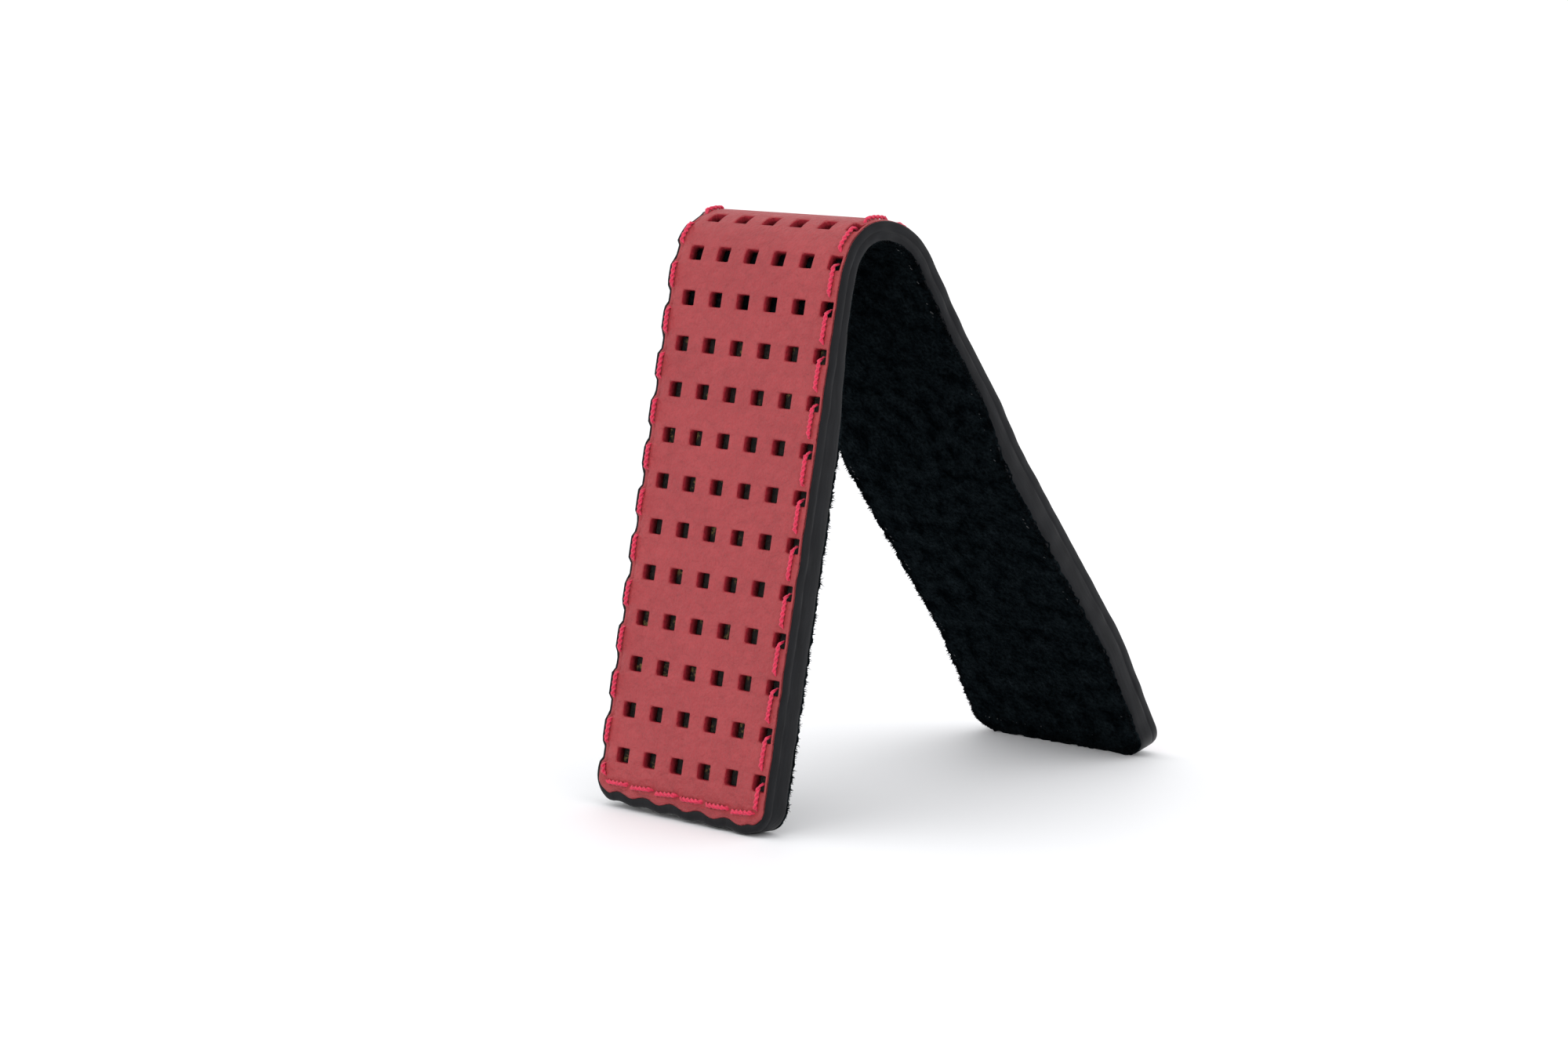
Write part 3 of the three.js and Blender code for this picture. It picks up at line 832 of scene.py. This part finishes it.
outline = outline_points()
count = len(outline)
bm = bmesh.new()
bmesh.ops.create_grid(bm, x_segments=count, y_segments=len(section), size=0.5)
for v in bm.verts:
    i = round((v.co.x + 0.5) * count) % count
    j = round((v.co.y + 0.5) * len(section)) % len(section)
    x, s, out_x, out_s = outline[i]
    out, share, nose = section[j]
    height = paint_height(min(max(s, 0), strap_length), share)
    punched_share = black_share + (1 - black_share) * smooth(1.7 * mm, 0.9 * mm, -height)
    in_x, in_s = drawn_in(x, s, punched_share)
    in_s *= 0.5 / punched_share if punched_share > 0.5 else 1
    out_here = out * mm - in_x * abs(out_x) - in_s * abs(out_s) - nose * nose_reach * max(0, -out_s) ** 2
    out_here += build_up * max(0, -out_x) * smooth(-0.1, 0.1, out)
    out_here -= 0.6 * max(0, out) * mm * abs(out_s) * smooth(1, 1.4, share)
    wobble = 0.03 * mm * noise.noise(Vector((x * 300, s * 300, height * 900)))
    v.co = (x + out_x * (out_here + wobble), s + out_s * (out_here + wobble), height)
keep_flat_place(bm)
uv = bm.loops.layers.uv["flat"]
for face in bm.faces:
    for loop in face.loops:
        loop[uv].uv.x += loop.vert.co.z
bmesh.ops.remove_doubles(bm, verts=bm.verts, dist=0.002 * mm)
bmesh.ops.recalc_face_normals(bm, faces=bm.faces)
bend_along_course(bm)
edge = new_object("edge_paint", bm, edge_material)
across_fold(edge)

# ---------------------------------------------------------------------------
# Nap. Loose suede fibres: a short pile over the whole inner face, and longer
# tufts where the knife opened the suede along its cut edge.
# ---------------------------------------------------------------------------

nap_material, tree, shader = new_material("suede_nap", (0.003, 0.0045, 0.0055), 1.0)
shades = add_texture(tree, "Noise", flat_place(tree), Scale=420, Detail=4)
nap_dark = (0.001, 0.002, 0.0026)
nap_light = (0.007, 0.010, 0.012)
nap_shade = add_ramp(tree, shades.outputs["Fac"], ((0.35, nap_dark), (0.75, nap_light)))
tree.links.new(nap_shade, shader.inputs["Base Color"])
shader.inputs["Specular IOR Level"].default_value = 0.05


def grow_nap(name, doublings, seed, root_of, length_range, radius, lean):
    """Bent three-sided fibres, grown from one by doubling, each rooted where root_of says."""
    rng = random.Random(seed)
    bm = bmesh.new()
    bmesh.ops.create_cone(bm, cap_ends=True, segments=3, radius1=1, radius2=0.55, depth=1)
    bmesh.ops.translate(bm, verts=bm.verts, vec=(0, 0, 0.5))
    top = [f for f in bm.faces if f.normal.z > 0.9]
    grown = bmesh.ops.extrude_face_region(bm, geom=top)["geom"]
    tip = [e for e in grown if isinstance(e, bmesh.types.BMVert)]
    bmesh.ops.translate(bm, verts=tip, vec=(0, 0, 1))
    bmesh.ops.scale(bm, verts=tip, vec=(0.25, 0.25, 1))
    bmesh.ops.delete(bm, geom=top, context="FACES_ONLY")
    per_fibre = len(bm.verts)
    for _ in range(doublings):
        bmesh.ops.duplicate(bm, geom=bm.verts[:] + bm.edges[:] + bm.faces[:])
    bm.verts.ensure_lookup_table()
    uv = bm.loops.layers.uv.new("flat")
    for first in range(0, len(bm.verts), per_fibre):
        x, s, out_x, out_s, depth = root_of(rng)
        length = rng.uniform(*length_range)
        lean_x = out_x + rng.uniform(-lean, lean)
        lean_s = out_s + rng.uniform(-lean, lean)
        curl_x, curl_s = rng.uniform(-0.4, 0.4), rng.uniform(-0.4, 0.4)
        root = Vector((x, s, depth))
        for v in bm.verts[first:first + per_fibre]:
            t = v.co.z / 2
            rise = length * t
            v.co = root + Vector((
                v.co.x * radius + rise * (lean_x + curl_x * t),
                v.co.y * radius + rise * (lean_s + curl_s * t),
                -rise * (1 - 0.4 * t),
            ))
    for face in bm.faces:
        for loop in face.loops:
            loop[uv].uv = (loop.vert.co.x, loop.vert.co.y)
    bend_along_course(bm)
    bmesh.ops.recalc_face_normals(bm, faces=bm.faces)
    made = new_object(name, bm, nap_material)
    across_fold(made)
    return made


def root_on_face(rng):
    x, s = trim(rng.uniform(-0.98, 0.98) * width / 2, rng.uniform(0.006, 0.994) * strap_length)
    return x, s, 0, 0, lining_inside(s) + 0.1 * mm


def root_on_edge(rng):
    x, s, out_x, out_s = rng.choice(outline)
    in_x, in_s = drawn_in(x, s, black_share)
    inset = rng.uniform(0.05, 0.45) * mm + 0.45 * mm * abs(out_s)
    spread = 0.35 * mm
    x -= out_x * (inset + in_x)
    s -= out_s * (inset + in_s)
    x += rng.uniform(-spread, spread) * abs(out_s)
    s += rng.uniform(-spread, spread) * abs(out_x)
    outward = rng.uniform(0, 0.6) * (1 - abs(out_s))
    depth = lining_inside(min(max(s, 0), strap_length)) + rng.uniform(0, 0.2) * mm
    return x, s, out_x * outward, out_s * outward, depth


grow_nap("suede_pile", 13, 11, root_on_face, (0.2 * mm, 0.45 * mm), 0.035 * mm, 0.8)
grow_nap("suede_tufts", 13, 12, root_on_edge, (0.2 * mm, 0.55 * mm), 0.075 * mm, 0.35)
